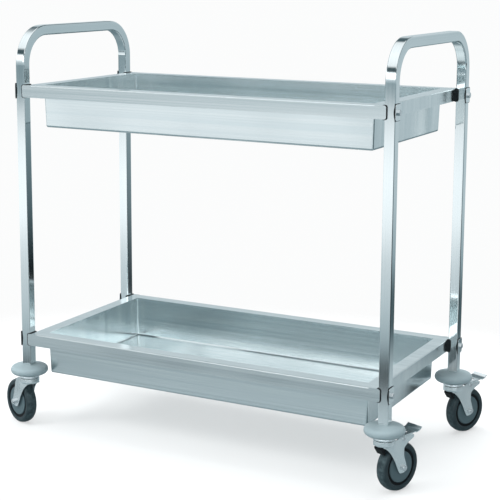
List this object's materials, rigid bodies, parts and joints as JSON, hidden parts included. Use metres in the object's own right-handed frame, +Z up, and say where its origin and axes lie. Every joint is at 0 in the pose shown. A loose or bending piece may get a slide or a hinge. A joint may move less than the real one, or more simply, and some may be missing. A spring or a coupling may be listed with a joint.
{
  "type": "serving cart",
  "caption": "Two-tier stainless steel serving cart with deep trays, tube end frames with push handles, disc bumpers and swivel casters, two of them braked.",
  "frame": {"origin": "middle of the floor under the cart, midway between the four legs", "axes": "+X along the cart towards the braked end, +Y to the rear, +Z up"},
  "size_m": [1.1313, 0.6057, 1.02],
  "materials": {
    "stainless": "fine brushed grain, near mirror on the tube",
    "saddle_plastic": "moulded, satin",
    "bolt_steel": "plated, bright",
    "insert_plastic": "moulded",
    "bumper_grey": "soft moulded plastic, satin",
    "caster_zinc": "bright zinc plate on pressed steel",
    "core_black": "moulded, satin",
    "hub_grey": "moulded, satin",
    "tyre_rubber": "matt rubber"
  },
  "bodies": {
    "root": {"end_frame_left": "stainless", "end_frame_right": "stainless", "upper_tray": "stainless", "upper_tray_saddles": "saddle_plastic", "upper_leg_gaskets": "saddle_plastic", "upper_cover_plates": "stainless", "upper_tray_bolts": "bolt_steel", "upper_tray_nuts": "bolt_steel", "lower_tray": "stainless", "lower_tray_saddles": "saddle_plastic", "lower_leg_gaskets": "saddle_plastic", "lower_cover_plates": "stainless", "lower_tray_bolts": "bolt_steel", "lower_tray_nuts": "bolt_steel", "leg_inserts": "insert_plastic", "bumper_front_left": "bumper_grey", "bumper_front_right": "bumper_grey", "bumper_rear_left": "bumper_grey", "bumper_rear_right": "bumper_grey", "caster_stem_front_left": "caster_zinc", "caster_stem_front_right": "caster_zinc", "caster_stem_rear_left": "caster_zinc", "caster_stem_rear_right": "caster_zinc"},
    "caster_front_left": {"fork_front_left": "caster_zinc", "axle_bolt_front_left": "bolt_steel", "axle_sleeve_front_left": "bolt_steel", "swivel_balls_front_left": "bolt_steel"},
    "wheel_front_left": {"wheel_core_front_left": "core_black", "hub_covers_front_left": "hub_grey", "tyre_front_left": "tyre_rubber"},
    "caster_front_right": {"fork_front_right": "caster_zinc", "axle_bolt_front_right": "bolt_steel", "axle_sleeve_front_right": "bolt_steel", "swivel_balls_front_right": "bolt_steel", "pedal_pin_front_right": "bolt_steel", "brake_housing_front_right": "core_black"},
    "wheel_front_right": {"wheel_core_front_right": "core_black", "hub_covers_front_right": "hub_grey", "tyre_front_right": "tyre_rubber"},
    "pedal_front_right": {"brake_pedal_front_right": "caster_zinc", "brake_pad_front_right": "tyre_rubber"},
    "caster_rear_left": {"fork_rear_left": "caster_zinc", "axle_bolt_rear_left": "bolt_steel", "axle_sleeve_rear_left": "bolt_steel", "swivel_balls_rear_left": "bolt_steel"},
    "wheel_rear_left": {"wheel_core_rear_left": "core_black", "hub_covers_rear_left": "hub_grey", "tyre_rear_left": "tyre_rubber"},
    "caster_rear_right": {"fork_rear_right": "caster_zinc", "axle_bolt_rear_right": "bolt_steel", "axle_sleeve_rear_right": "bolt_steel", "swivel_balls_rear_right": "bolt_steel", "pedal_pin_rear_right": "bolt_steel", "brake_housing_rear_right": "core_black"},
    "wheel_rear_right": {"wheel_core_rear_right": "core_black", "hub_covers_rear_right": "hub_grey", "tyre_rear_right": "tyre_rubber"},
    "pedal_rear_right": {"brake_pedal_rear_right": "caster_zinc", "brake_pad_rear_right": "tyre_rubber"}
  },
  "joints": [
    {"name": "swivel_front_left", "type": "hinge", "parent": "root", "child": "caster_front_left", "pos_m": [-0.4875, -0.2285, 0.129], "axis": [0, 0, 1], "continuous": true},
    {"name": "spin_front_left", "type": "hinge", "parent": "caster_front_left", "child": "wheel_front_left", "pos_m": [-0.528, -0.21131, 0.0575], "axis": [-0.3907, -0.9205, 0], "continuous": true},
    {"name": "swivel_front_right", "type": "hinge", "parent": "root", "child": "caster_front_right", "pos_m": [0.4875, -0.2285, 0.129], "axis": [0, 0, 1], "continuous": true},
    {"name": "spin_front_right", "type": "hinge", "parent": "caster_front_right", "child": "wheel_front_right", "pos_m": [0.50327, -0.18742, 0.0575], "axis": [-0.9336, 0.3584, 0], "continuous": true},
    {"name": "brake_front_right", "type": "hinge", "parent": "caster_front_right", "child": "pedal_front_right", "pos_m": [0.50291, -0.18836, 0.125], "axis": [-0.9336, 0.3584, 0], "range_deg": [0, 10]},
    {"name": "swivel_rear_left", "type": "hinge", "parent": "root", "child": "caster_rear_left", "pos_m": [-0.4875, 0.2285, 0.129], "axis": [0, 0, 1], "continuous": true},
    {"name": "spin_rear_left", "type": "hinge", "parent": "caster_rear_left", "child": "wheel_rear_left", "pos_m": [-0.50816, 0.26735, 0.0575], "axis": [-0.8829, -0.4695, 0], "continuous": true},
    {"name": "swivel_rear_right", "type": "hinge", "parent": "root", "child": "caster_rear_right", "pos_m": [0.4875, 0.2285, 0.129], "axis": [0, 0, 1], "continuous": true},
    {"name": "spin_rear_right", "type": "hinge", "parent": "caster_rear_right", "child": "wheel_rear_right", "pos_m": [0.5054, 0.2687, 0.0575], "axis": [-0.9135, 0.4067, 0], "continuous": true},
    {"name": "brake_rear_right", "type": "hinge", "parent": "caster_rear_right", "child": "pedal_rear_right", "pos_m": [0.50499, 0.26778, 0.125], "axis": [-0.9135, 0.4067, 0], "range_deg": [0, 10]}
  ]
}
